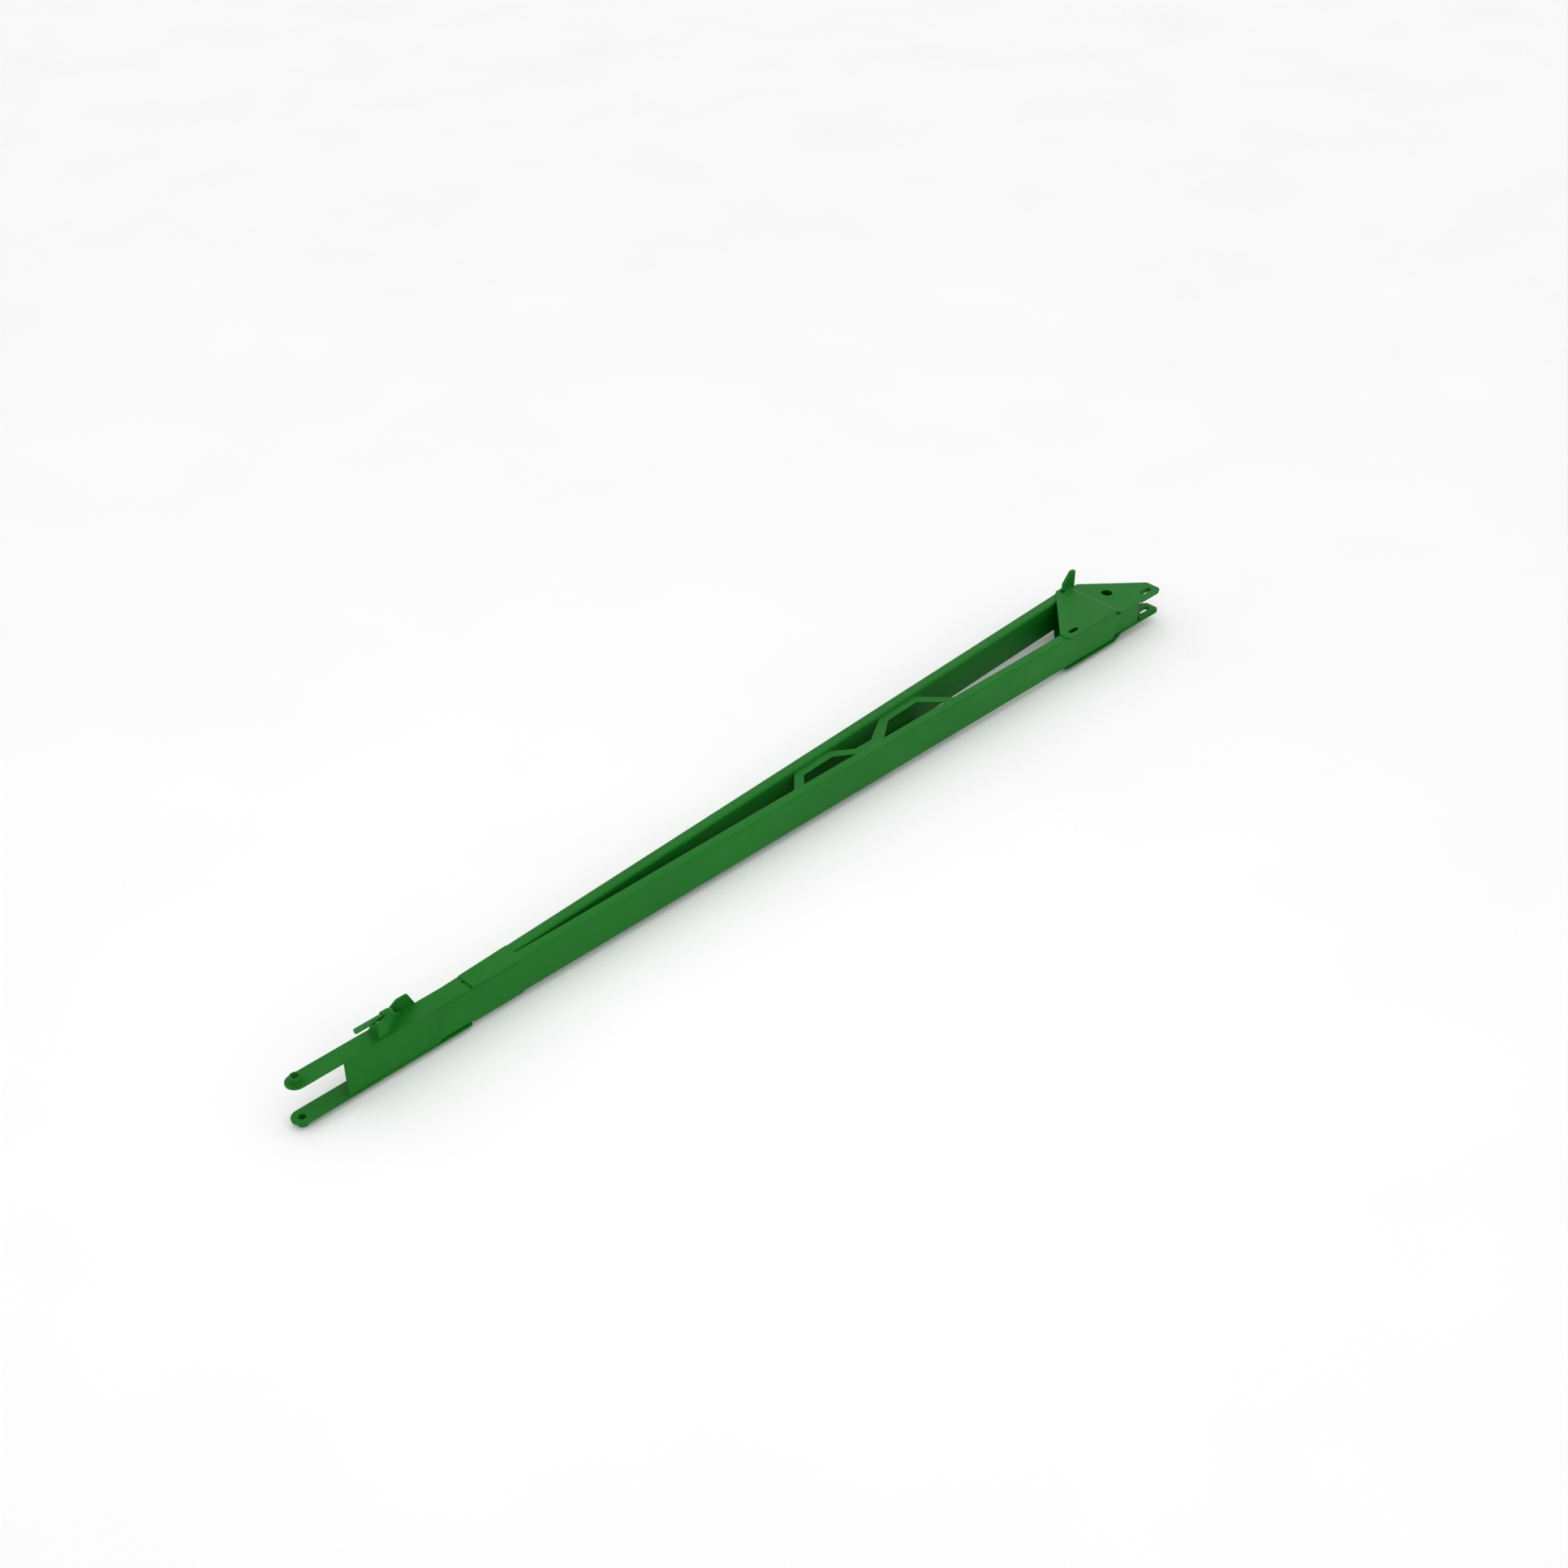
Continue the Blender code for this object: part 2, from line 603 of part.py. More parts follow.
def rod_brace(collection, cutters, frame):
    """Wall that runs slantwise from the side wall to the fin, falling from its full height to its foot."""
    run = Vector((BRACE_END[0] - BRACKET_SIDE_END, BRACE_END[1] - BRACKET_NEAR))
    begin = 6 * MM
    length = run.length - BRACE_SHORTENING
    outline = rounded([(begin, GAP, 0), (length, GAP, 0), (length, 10 * MM, 0),
                       (24 * MM, BRACE_HEIGHT, 15 * MM), (begin, BRACE_HEIGHT, 0)])
    brace = extruded("rod_bracket_brace", outline, BRACKET_PLATE, collection, painted("rod_bracket_brace"))
    heading = math.atan2(run.y, run.x)
    brace.rotation_euler = (math.radians(90), 0, heading)
    brace.location = (BRACKET_SIDE_END - BRACKET_PLATE * math.sin(heading),
                      BRACKET_NEAR + BRACKET_PLATE * math.cos(heading), 0)
    brace.parent = frame
    sleeve_room = circle((0, ROD_HEIGHT), SLEEVE_RADIUS + GAP)
    cope = as_cutter(extruded("sleeve_cope", sleeve_room, SLEEVE_COPE_LENGTH, cutters))
    stand_in_yz(cope, BRACKET_FRONT)
    cope.parent = frame
    boolean(brace, cope)


def rod_saddle(name, start, near, collection, cutters, frame):
    """Cross plate under the sleeve, hollowed to its radius."""
    outline = rounded([(near, GAP, 0), (60 * MM, GAP, 0), (60 * MM, 20 * MM, 0),
                       (SLEEVE_RADIUS, ROD_HEIGHT - 10 * MM, 0), (near, ROD_HEIGHT - 10 * MM, 0)])
    obj = extruded(name, outline, BRACKET_PLATE, collection, painted(name))
    stand_in_yz(obj, start)
    obj.parent = frame
    boolean(obj, bpy.data.objects["sleeve_cope"])


def bracket_fin(collection, frame):
    outline = rounded([(700 * MM, GAP, 0), (998 * MM, GAP, 0), (942 * MM, 120 * MM, 20 * MM),
                       (858 * MM, 120 * MM, 25 * MM), (784 * MM, 76 * MM, 0)])
    obj = extruded("rod_bracket_fin", outline, PLATE - GAP, collection, painted("rod_bracket_fin"))
    stand_in_xz(obj, FORK_HALF_WIDTH)
    obj.parent = frame


def build_rod(collection, cutters, frame):
    rod_bracket(collection, cutters, frame)
    rod_saddle("rod_bracket_saddle", 700 * MM, -28 * MM, collection, cutters, frame)
    bracket_fin(collection, frame)
    bore = ROD_RADIUS + RUNNING_GAP
    sleeve = turned_along_x("rod_sleeve", [
        (SLEEVE_START, bore), (SLEEVE_START, SLEEVE_RADIUS - 2 * MM), (SLEEVE_START + 2 * MM, SLEEVE_RADIUS),
        (SLEEVE_END - 2 * MM, SLEEVE_RADIUS), (SLEEVE_END, SLEEVE_RADIUS - 2 * MM), (SLEEVE_END, bore)],
        collection, painted("rod_sleeve"))
    axis = bpy.data.objects.new("rod_axis", None)
    collection.objects.link(axis)
    axis.location = (0, 0, ROD_HEIGHT)
    axis.parent = frame
    sleeve.parent = axis
    groove_end = ROD_GROOVE + ROD_GROOVE_WIDTH
    rod = turned_along_x("locking_rod", [
        (ROD_START, 0), (ROD_START, ROD_RADIUS - 3 * MM), (ROD_START + 3 * MM, ROD_RADIUS),
        (ROD_GROOVE, ROD_RADIUS), (ROD_GROOVE, ROD_GROOVE_RADIUS), (groove_end, ROD_GROOVE_RADIUS),
        (groove_end, ROD_RADIUS), (ROD_END - 2 * MM, ROD_RADIUS), (ROD_END, ROD_RADIUS - 2 * MM),
        (ROD_END, 0)], collection, painted("locking_rod"))
    rod.parent = axis
    clip_start = ROD_GROOVE + GAP
    clip_end = groove_end - GAP
    clip_bore = ROD_GROOVE_RADIUS + GAP
    clip = turned_along_x("rod_clip", [
        (clip_start, clip_bore), (clip_start, CLIP_RADIUS), (clip_end, CLIP_RADIUS), (clip_end, clip_bore)],
        collection, painted("rod_clip"))
    clip.parent = axis
    collar_start = SLEEVE_END + GAP
    collar_end = ROD_END - 6 * MM
    collar_bore = ROD_RADIUS + GAP
    collar = turned_along_x("rod_collar", [
        (collar_start, collar_bore), (collar_start, COLLAR_RADIUS), (collar_end - 2 * MM, COLLAR_RADIUS),
        (collar_end, COLLAR_RADIUS - 2 * MM), (collar_end, collar_bore)], collection, painted("rod_collar"))
    collar.parent = axis


def build_arm():
    clear_scene()
    collection = new_collection("boom_arm")
    cutters = new_collection("cutters")
    frame = bpy.data.objects.new("arm_frame", None)
    collection.objects.link(frame)
    lowest = LOWER_FACE - GAP - BOSS_HEIGHT
    farthest = far_leg_outer(LEG_END)
    frame.location = (-(EAR_END - FORK_HALF_WIDTH) / 2, -(farthest + HEAD_NEAR_EDGE) / 2, -lowest)
    build_fork(collection, frame)
    build_legs(collection, cutters, frame)
    build_head(collection, cutters, frame)
    build_rod(collection, cutters, frame)
    bpy.context.view_layer.update()


build_arm()
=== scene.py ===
"""Looks of the welded boom arm: paint, weld beads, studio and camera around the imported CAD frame."""

import json
import math

import bmesh
import bpy
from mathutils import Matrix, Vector


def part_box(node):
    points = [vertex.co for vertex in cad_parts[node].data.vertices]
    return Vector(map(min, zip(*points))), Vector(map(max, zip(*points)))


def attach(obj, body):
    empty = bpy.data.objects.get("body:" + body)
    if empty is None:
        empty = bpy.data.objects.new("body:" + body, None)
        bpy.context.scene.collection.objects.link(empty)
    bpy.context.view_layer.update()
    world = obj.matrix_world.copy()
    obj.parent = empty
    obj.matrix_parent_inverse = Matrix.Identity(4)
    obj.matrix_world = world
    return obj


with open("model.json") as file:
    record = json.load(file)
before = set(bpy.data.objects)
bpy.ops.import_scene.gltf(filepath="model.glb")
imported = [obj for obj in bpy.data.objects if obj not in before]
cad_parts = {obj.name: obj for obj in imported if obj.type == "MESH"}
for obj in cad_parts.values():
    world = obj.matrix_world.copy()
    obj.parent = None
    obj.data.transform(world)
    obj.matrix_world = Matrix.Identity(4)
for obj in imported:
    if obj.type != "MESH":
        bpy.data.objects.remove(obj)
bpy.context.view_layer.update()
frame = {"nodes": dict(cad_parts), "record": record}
BOX = {node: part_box(node) for node in frame["nodes"]}

MM = 0.001
UP = Vector((0, 0, 1))
TO_NEAR = Vector((0, -1, 0))
TO_FAR = Vector((0, 1, 0))
TO_FORK = Vector((-1, 0, 0))
TO_HEAD = Vector((1, 0, 0))
LEVELS = (("upper", UP), ("lower", -UP))

# Camera: a 40 degree view from the isometric corner, aimed beside the middle of the arm
CAMERA_DISTANCE = 15.65
CAMERA_FIELD = math.radians(40)
CAMERA_SENSOR = 36
CAMERA_REACH = 100
VIEW_DIRECTION = Vector((1, 1, -1))
AIM_FROM_PIN = Vector((4.0643, -0.3518, 0.4709))

# Studio
FLOOR_REACH = 60.0
FLOOR_ROUGHNESS = 0.85
FLOOR_PALE = (0.95, 0.95, 0.95, 1)
FLOOR_GREY = (0.93, 0.93, 0.93, 1)
WORLD_STRENGTH = 1.0
SOFTBOX_PLACE = Vector((-2.5, -2.0, 6.5))
SOFTBOX_LENGTH = 9.0
SOFTBOX_WIDTH = 5.0
SOFTBOX_POWER = 60.0

# Sizes of the CAD part that its boxes don't show
LEG_SPREAD = math.radians(3.281)
TUBE_WIDTH = 100 * MM
TUBE_CORNER = 25 * MM
PLATE = 12 * MM
EAR_SLANT = math.atan2(417, 463)
HEAD_SLANT_FOOT = 100 * MM        # from the head plate's near edge to the foot of its slanting edge
HEAD_SLANT_RUN = 532 * MM         # length of the slanting edge along X
BEND_START = 662 * MM             # from the head plate's front edge to the bend
BEND_RUN = 88 * MM
BEND_DROP = 50 * MM
SPLICE_INSET = 20 * MM            # from the far leg's outer face to the splice plate's far edge
SPLICE_CORNER_DROP = 0.6 * MM     # fall of the tube's round corner at that edge
LATTICE_FEET = ((4560, 4672), (5284, 5566), (6326, 6430))    # mm from the fork pin, on the near leg
LATTICE_CROWNS = ((4736, 5132), (5760, 6186))                # the same, on the far leg

# Sizes of the weld beads
LEG_SMALL = 4.5 * MM
LEG_BOSS = 6 * MM
LEG_LARGE = 7 * MM
ROOT = 1.5 * MM                   # how far a bead's root reaches into its corner
FACE_POWER = 1.25                 # shape of a fillet's face: 1 is a quarter circle, 2 is flat
END_TAPER = 5 * MM                # length over which a bead thins out towards its end
END_SIZE = 0.55                   # size of the bead at its very end
FORK_WEB_STOP = 10 * MM           # the fork web's fillets stop this far before the web's end
SLANT_FRONT_STOP = 20 * MM        # stops before the corners of the head plate's slanting edge
SLANT_END_STOP = 14 * MM
SEAM_WIDTH = 9 * MM
SEAM_WIDE = 14 * MM
SEAM_EAR = 7 * MM
SEAM_RISE = 1.6 * MM
SEAM_RISE_END_PLATE = 2 * MM
SEAM_RISE_FOLD = 1.2 * MM
SEAM_RISE_BRACKET = 0.8 * MM
SEAM_RISE_EAR = 0.5 * MM

# Ripples of the weld beads
RING_STEP = 1.5 * MM
ROUND_STEPS = 64
RIPPLE = 6 * MM
RIPPLE_DEPTH = 0.08
RIPPLE_TRAIL = 1.3                # radians by which a crescent's middle leads its edges
WANDER = 7.3 * RIPPLE
WANDER_DEPTH = 0.05
WANDER_START = 0.8

# Modifiers on the CAD nodes
EDGE_RADIUS = 1.2 * MM
EDGE_SEGMENTS = 3
EDGE_ANGLE = math.radians(32)
FLAT_ANGLE = math.radians(0.5)
MERGE = 0.01 * MM

# Paint
GREEN = (0.0050, 0.152, 0.0095, 1.0)
GREEN_DEEP = (0.0038, 0.136, 0.0080, 1.0)
GREEN_PALE = (0.0100, 0.172, 0.0160, 1.0)
BARE_STEEL = (0.20, 0.21, 0.20, 1.0)
PAINT_SPECULAR = 0.15
ROD_SPECULAR = 0.25


# ---------------------------------------------------------------- materials

class Graph:
    """A material's node tree, with short calls to add and join nodes."""

    def __init__(self, name):
        self.material = bpy.data.materials.new(name)
        self.material.use_nodes = True
        self.tree = self.material.node_tree
        self.shader = self.tree.nodes["Principled BSDF"]
        self.place = self.tree.nodes.new("ShaderNodeTexCoord").outputs["Object"]

    def join(self, source, socket):
        self.tree.links.new(source, socket)

    def noise(self, scale, detail, roughness=0.5, stretch=(1, 1, 1)):
        mapping = self.tree.nodes.new("ShaderNodeMapping")
        mapping.inputs["Scale"].default_value = stretch
        self.join(self.place, mapping.inputs["Vector"])
        node = self.tree.nodes.new("ShaderNodeTexNoise")
        node.inputs["Scale"].default_value = scale
        node.inputs["Detail"].default_value = detail
        node.inputs["Roughness"].default_value = roughness
        self.join(mapping.outputs["Vector"], node.inputs["Vector"])
        return node.outputs["Fac"]

    def mapped(self, value, low, high, to_low, to_high):
        node = self.tree.nodes.new("ShaderNodeMapRange")
        node.inputs["From Min"].default_value = low
        node.inputs["From Max"].default_value = high
        node.inputs["To Min"].default_value = to_low
        node.inputs["To Max"].default_value = to_high
        self.join(value, node.inputs["Value"])
        return node.outputs["Result"]

    def mixed(self, factor, first, second):
        node = self.tree.nodes.new("ShaderNodeMix")
        node.data_type = "RGBA"
        self.join(factor, node.inputs["Factor"])
        for socket, colour in ((node.inputs[6], first), (node.inputs[7], second)):
            if isinstance(colour, tuple):
                socket.default_value = colour
            else:
                self.join(colour, socket)
        return node.outputs[2]

    def times(self, first, second):
        node = self.tree.nodes.new("ShaderNodeMath")
        node.operation = "MULTIPLY"
        self.join(first, node.inputs[0])
        self.join(second, node.inputs[1])
        return node.outputs["Value"]

    def facing_up(self):
        """0 on walls and undersides, up to 1 on level top faces."""
        geometry = self.tree.nodes.new("ShaderNodeNewGeometry")
        parts = self.tree.nodes.new("ShaderNodeSeparateXYZ")
        self.join(geometry.outputs["Normal"], parts.inputs["Vector"])
        return self.mapped(parts.outputs["Z"], 0.3, 1.0, 0.0, 1.0)

    def bump(self, height, strength, distance, under=None):
        node = self.tree.nodes.new("ShaderNodeBump")
        node.inputs["Strength"].default_value = strength
        node.inputs["Distance"].default_value = distance
        self.join(height, node.inputs["Height"])
        if under is not None:
            self.join(under, node.inputs["Normal"])
        return node.outputs["Normal"]


def paint(name, peel, roughness_low, roughness_high):
    """Sprayed green enamel: slow changes of tone, orange peel, a breath of dust on level faces."""
    graph = Graph(name)
    drift = graph.mapped(graph.noise(scale=1.7, detail=3.0), 0.35, 0.65, 0.0, 1.0)
    tone = graph.mixed(drift, GREEN, GREEN_DEEP)
    grit = graph.mapped(graph.noise(scale=70.0, detail=5.0, roughness=0.7), 0.52, 0.75, 0.0, 0.55)
    dust = graph.times(grit, graph.mapped(graph.facing_up(), 0.0, 1.0, 0.15, 1.0))
    graph.join(graph.mixed(dust, tone, GREEN_PALE), graph.shader.inputs["Base Color"])
    cloud = graph.mapped(graph.noise(scale=9.0, detail=4.0), 0.3, 0.7, roughness_low, roughness_high)
    graph.join(cloud, graph.shader.inputs["Roughness"])
    waves = graph.bump(graph.noise(scale=14.0, detail=2.0), strength=0.10, distance=1.0 * MM)
    grain = graph.noise(scale=420.0, detail=2.0, roughness=0.4)
    graph.join(graph.bump(grain, peel, 0.4 * MM, waves), graph.shader.inputs["Normal"])
    graph.shader.inputs["Specular IOR Level"].default_value = PAINT_SPECULAR
    return graph.material


def rubbed_paint(name):
    """Green enamel worn shiny in fine lines along the rod, with bare steel in the deepest of them."""
    graph = Graph(name)
    drift = graph.mapped(graph.noise(scale=6.0, detail=3.0), 0.35, 0.65, 0.0, 1.0)
    tone = graph.mixed(drift, GREEN, GREEN_PALE)
    lines = graph.noise(scale=160.0, detail=3.0, roughness=0.6, stretch=(0.04, 1.0, 1.0))
    bare = graph.mapped(lines, 0.66, 0.72, 0.0, 0.6)
    graph.join(graph.mixed(bare, tone, BARE_STEEL), graph.shader.inputs["Base Color"])
    graph.join(graph.mapped(lines, 0.3, 0.7, 0.42, 0.28), graph.shader.inputs["Roughness"])
    graph.join(graph.mapped(bare, 0.0, 0.6, 0.0, 0.7), graph.shader.inputs["Metallic"])
    graph.join(graph.bump(lines, strength=0.12, distance=0.3 * MM), graph.shader.inputs["Normal"])
    graph.shader.inputs["Specular IOR Level"].default_value = ROD_SPECULAR
    return graph.material


MATERIALS = {
    "tube_paint": paint("tube_paint", peel=0.08, roughness_low=0.40, roughness_high=0.54),
    "plate_paint": paint("plate_paint", peel=0.12, roughness_low=0.42, roughness_high=0.56),
    "rod_paint": rubbed_paint("rod_paint"),
}
WELD_PAINT = paint("weld_paint", peel=0.25, roughness_low=0.36, roughness_high=0.50)


# ---------------------------------------------------------------- CAD nodes

def smooth_shading():
    """Node group that turns smooth shading on for whatever passes through it."""
    group = bpy.data.node_groups.new("smooth_shading", "GeometryNodeTree")
    group.interface.new_socket("Geometry", in_out="INPUT", socket_type="NodeSocketGeometry")
    group.interface.new_socket("Geometry", in_out="OUTPUT", socket_type="NodeSocketGeometry")
    enter = group.nodes.new("NodeGroupInput")
    leave = group.nodes.new("NodeGroupOutput")
    smooth = group.nodes.new("GeometryNodeSetShadeSmooth")
    group.links.new(enter.outputs[0], smooth.inputs["Geometry"])
    group.links.new(smooth.outputs[0], leave.inputs[0])
    return group


def finish_cad_nodes():
    """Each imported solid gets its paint, whole flat faces, and a rolled edge where two of them meet."""
    smoothing = smooth_shading()
    slots = {part["node"]: part["material_slot"] for part in frame["record"]["subparts"]}
    for name, obj in frame["nodes"].items():
        obj.data.materials.clear()
        obj.data.materials.append(MATERIALS[slots[name]])
        weld = obj.modifiers.new("join_faces", "WELD")
        weld.merge_threshold = MERGE
        flat = obj.modifiers.new("whole_faces", "DECIMATE")
        flat.decimate_type = "DISSOLVE"
        flat.angle_limit = FLAT_ANGLE
        obj.modifiers.new("smooth", "NODES").node_group = smoothing
        bevel = obj.modifiers.new("rolled_edges", "BEVEL")
        bevel.width = EDGE_RADIUS
        bevel.segments = EDGE_SEGMENTS
        bevel.limit_method = "ANGLE"
        bevel.angle_limit = EDGE_ANGLE
        bevel.use_clamp_overlap = False
        normals = obj.modifiers.new("flat_faces", "WEIGHTED_NORMAL")
        normals.keep_sharp = True


# ---------------------------------------------------------------- weld beads

def resampled(path, closed):
    """Points about RING_STEP apart along a line through the given corners."""
    corners = path + path[:1] if closed else path
    points = []
    for start, end in zip(corners, corners[1:]):
        steps = max(1, round((end - start).length / RING_STEP))
        points += [start.lerp(end, k / steps) for k in range(steps)]
    return points if closed else points + [corners[-1]]


def ripple(distance, across):
    """Swelling of the bead: crescents that trail at its edges, and a slower wander of the hand."""
    crescent = math.sin(math.tau * distance / RIPPLE + RIPPLE_TRAIL * math.sin(math.pi * across))
    wander = math.sin(math.tau * distance / WANDER + WANDER_START)
    return 1 + RIPPLE_DEPTH * crescent + WANDER_DEPTH * wander


def swept(name, path, up, section, rooted, closed=False, turn=1, rippled=True):
    """Bead along a path. Section points are (sideways, up); the ripples leave the rooted ones still."""
    points = resampled(path, closed)
    count = len(points)
    body = bmesh.new()
    rings = []
    for i, point in enumerate(points):
        back = points[i - 1] if i or closed else point
        ahead = points[(i + 1) % count] if i + 1 < count or closed else point
        along = (ahead - back).normalized()
        out = along.cross(up).normalized() * turn
        rise = (up - along * along.dot(up)).normalized()
        from_end = min(i, count - 1 - i) * RING_STEP
        taper = 1.0 if closed else min(1.0, END_SIZE + (1 - END_SIZE) * from_end / END_TAPER)
        ring = []
        for k, (side, height) in enumerate(section):
            swell = ripple(i * RING_STEP, k / len(section)) * taper if rippled else 1.0
            swell = 1.0 if k in rooted else swell
            ring.append(body.verts.new(point + out * side * swell + rise * height * swell))
        rings.append(ring)
    pairs = list(zip(rings, rings[1:])) + ([(rings[-1], rings[0])] if closed else [])
    size = len(section)
    for first, second in pairs:
        for k in range(size):
            after = (k + 1) % size
            body.faces.new((first[k], first[after], second[after], second[k]))
    if not closed:
        body.faces.new(rings[0])
        body.faces.new(rings[-1])
    bmesh.ops.recalc_face_normals(body, faces=body.faces)
    for face in body.faces:
        face.smooth = True
    mesh = bpy.data.meshes.new(name)
    body.to_mesh(mesh)
    body.free()
    mesh.materials.append(WELD_PAINT)
    obj = bpy.data.objects.new(name, mesh)
    bpy.context.scene.collection.objects.link(obj)
    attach(obj, "arm")


def fillet_section(leg):
    """Slightly crowned triangle with its root pushed into the corner."""
    angles = [math.radians(degrees) for degrees in range(0, 91, 18)]
    face = [(leg * math.cos(a) ** FACE_POWER, leg * math.sin(a) ** FACE_POWER) for a in angles]
    return [(-ROOT, -ROOT), (leg, -ROOT)] + face + [(-ROOT, leg)]


def fillet(name, path, up, out, leg=LEG_SMALL):
    """Fillet weld in the corner of a level face and an upright one; out points away from the latter."""
    turn = 1 if (path[-1] - path[0]).cross(up).dot(out) > 0 else -1
    section = fillet_section(leg)
    swept(name, path, up, section, (0, 1, len(section) - 1), turn=turn)


def ring_fillet(name, outline, up, leg):
    """Fillet weld all round a closed outline given in order, anticlockwise seen from the end of up."""
    section = fillet_section(leg)
    swept(name, outline, up, section, (0, 1, len(section) - 1), closed=True)


def seam(name, path, up, width=SEAM_WIDTH, rise=SEAM_RISE, rippled=True):
    """Butt weld: a low crown over the joint between two flush faces."""
    half = width / 2
    angles = [math.radians(degrees) for degrees in range(0, 181, 30)]
    crown = [(half * math.cos(a), rise * math.sin(a)) for a in angles]
    section = [(half, -ROOT)] + crown + [(-half, -ROOT)]
    swept(name, path, up, section, (0, len(section) - 1), rippled=rippled)


def round_path(centre, radius, up):
    """Circle in a level plane, anticlockwise seen from the end of up."""
    direction = 1 if up.z > 0 else -1
    angles = [direction * math.tau * k / ROUND_STEPS for k in range(ROUND_STEPS)]
    return [centre + Vector((radius * math.cos(a), radius * math.sin(a), 0)) for a in angles]


def rounded_box_path(low, high, level, radius, up):
    """Rectangle with round corners in a level plane, anticlockwise seen from the end of up."""
    corners = [(high.x - radius, high.y - radius, 0), (low.x + radius, high.y - radius, 90),
               (low.x + radius, low.y + radius, 180), (high.x - radius, low.y + radius, 270)]
    path = []
    for x, y, start in corners:
        for degrees in range(start, start + 91, 15):
            angle = math.radians(degrees)
            path.append(Vector((x + radius * math.cos(angle), y + radius * math.sin(angle), level)))
    return path if up.z > 0 else path[::-1]


def far_leg_outer(x):
    """Y of the far leg's outer face."""
    high = BOX["leg_tube_far"][1]
    return high.y - (high.x - x) * math.tan(LEG_SPREAD)


def far_leg_inner(x):
    """Y of the far leg's face towards the near leg."""
    return far_leg_outer(x) - TUBE_WIDTH / math.cos(LEG_SPREAD)


def level_face(name, up):
    """Height of a node's level face on the side that up points to."""
    low, high = BOX[name]
    return high.z if up.z > 0 else low.z


def web_fillets(name, start, end):
    """Fillets along both faces of an upright web that runs along X, at its top and its bottom."""
    low, high = BOX[name]
    for face, y, out in (("out", low.y, TO_NEAR), ("in", high.y, TO_FAR)):
        for edge, z, up in (("top", high.z, -UP), ("foot", low.z, UP)):
            path = [Vector((start, y, z)), Vector((end, y, z))]
            fillet(f"weld_{name}_{face}_{edge}", path, up, out)


def fork_welds():
    """Rings round the bosses, fillets of both webs, and the butt joint of the near web and its leg."""
    for level, outward in LEVELS:
        low, high = BOX["fork_boss_" + level]
        centre = (low + high) / 2
        centre.z = level_face("fork_plate_" + level, outward)
        outline = round_path(centre, (high.x - low.x) / 2, outward)
        ring_fillet("weld_boss_" + level, outline, outward, LEG_BOSS)
    for web in ("fork_web_near", "fork_web_far"):
        low, high = BOX[web]
        web_fillets(web, low.x, high.x - FORK_WEB_STOP)
    low, high = BOX["fork_web_near"]
    joint = [Vector((high.x, low.y, z)) for z in (low.z + TUBE_CORNER, high.z - TUBE_CORNER)]
    seam("weld_fork_to_leg", joint, TO_NEAR)


def cross_fillet(name, x, near, far, level, out, up=UP, leg=LEG_SMALL):
    """Fillet across the arm at one X, where a plate's end stands on a level face."""
    fillet(name, [Vector((x, near, level)), Vector((x, far, level))], up, out, leg)


def splice_welds():
    """Ends and far edge of the splice plates, and the tails of the fork plates."""
    near = BOX["leg_tube_near"][0].y + TUBE_CORNER
    for level, outward in LEVELS:
        seat = level_face("leg_tube_near", outward)
        low, high = BOX["splice_plate_" + level]
        tail = BOX["fork_plate_" + level][1]
        ends = (("weld_splice_{}_head", high.x, far_leg_outer(high.x), TO_HEAD),
                ("weld_splice_{}_fork", low.x, far_leg_outer(low.x), TO_FORK),
                ("weld_fork_{}_tail", tail.x, tail.y, TO_HEAD))
        for name, x, far, out in ends:
            cross_fillet(name.format(level), x, near, far - TUBE_CORNER, seat, out, outward)
        far_z = seat - SPLICE_CORNER_DROP * outward.z
        far_edge = [Vector((x, far_leg_outer(x) - SPLICE_INSET, far_z)) for x in (low.x, high.x)]
        fillet(f"weld_splice_{level}_far", far_edge, outward, TO_FAR)


def lattice_welds():
    """Feet of the lattice's hoops on the near leg, and their crowns along the far leg."""
    wall = BOX["leg_tube_near"][1].y
    pin = pin_top().x
    for level, _ in LEVELS:
        low, high = BOX["lattice_plate_" + level]
        for face, z, up in (("top", high.z, UP), ("under", low.z, -UP)):
            for i, span in enumerate(LATTICE_FEET):
                path = [Vector((pin + x * MM, wall, z)) for x in span]
                fillet(f"weld_lattice_{level}_{face}_foot_{i}", path, up, TO_FAR)
            for i, span in enumerate(LATTICE_CROWNS):
                path = [Vector((pin + x * MM, far_leg_inner(pin + x * MM), z)) for x in span]
                fillet(f"weld_lattice_{level}_{face}_crown_{i}", path, up, TO_NEAR)


def onto_far_leg(foot, slope):
    """X where a line in the plan, rising by slope from foot, passes onto the flat top of the far leg."""
    gap = far_leg_inner(foot.x) + TUBE_CORNER - foot.y
    return foot.x + gap / (slope - math.tan(LEG_SPREAD))


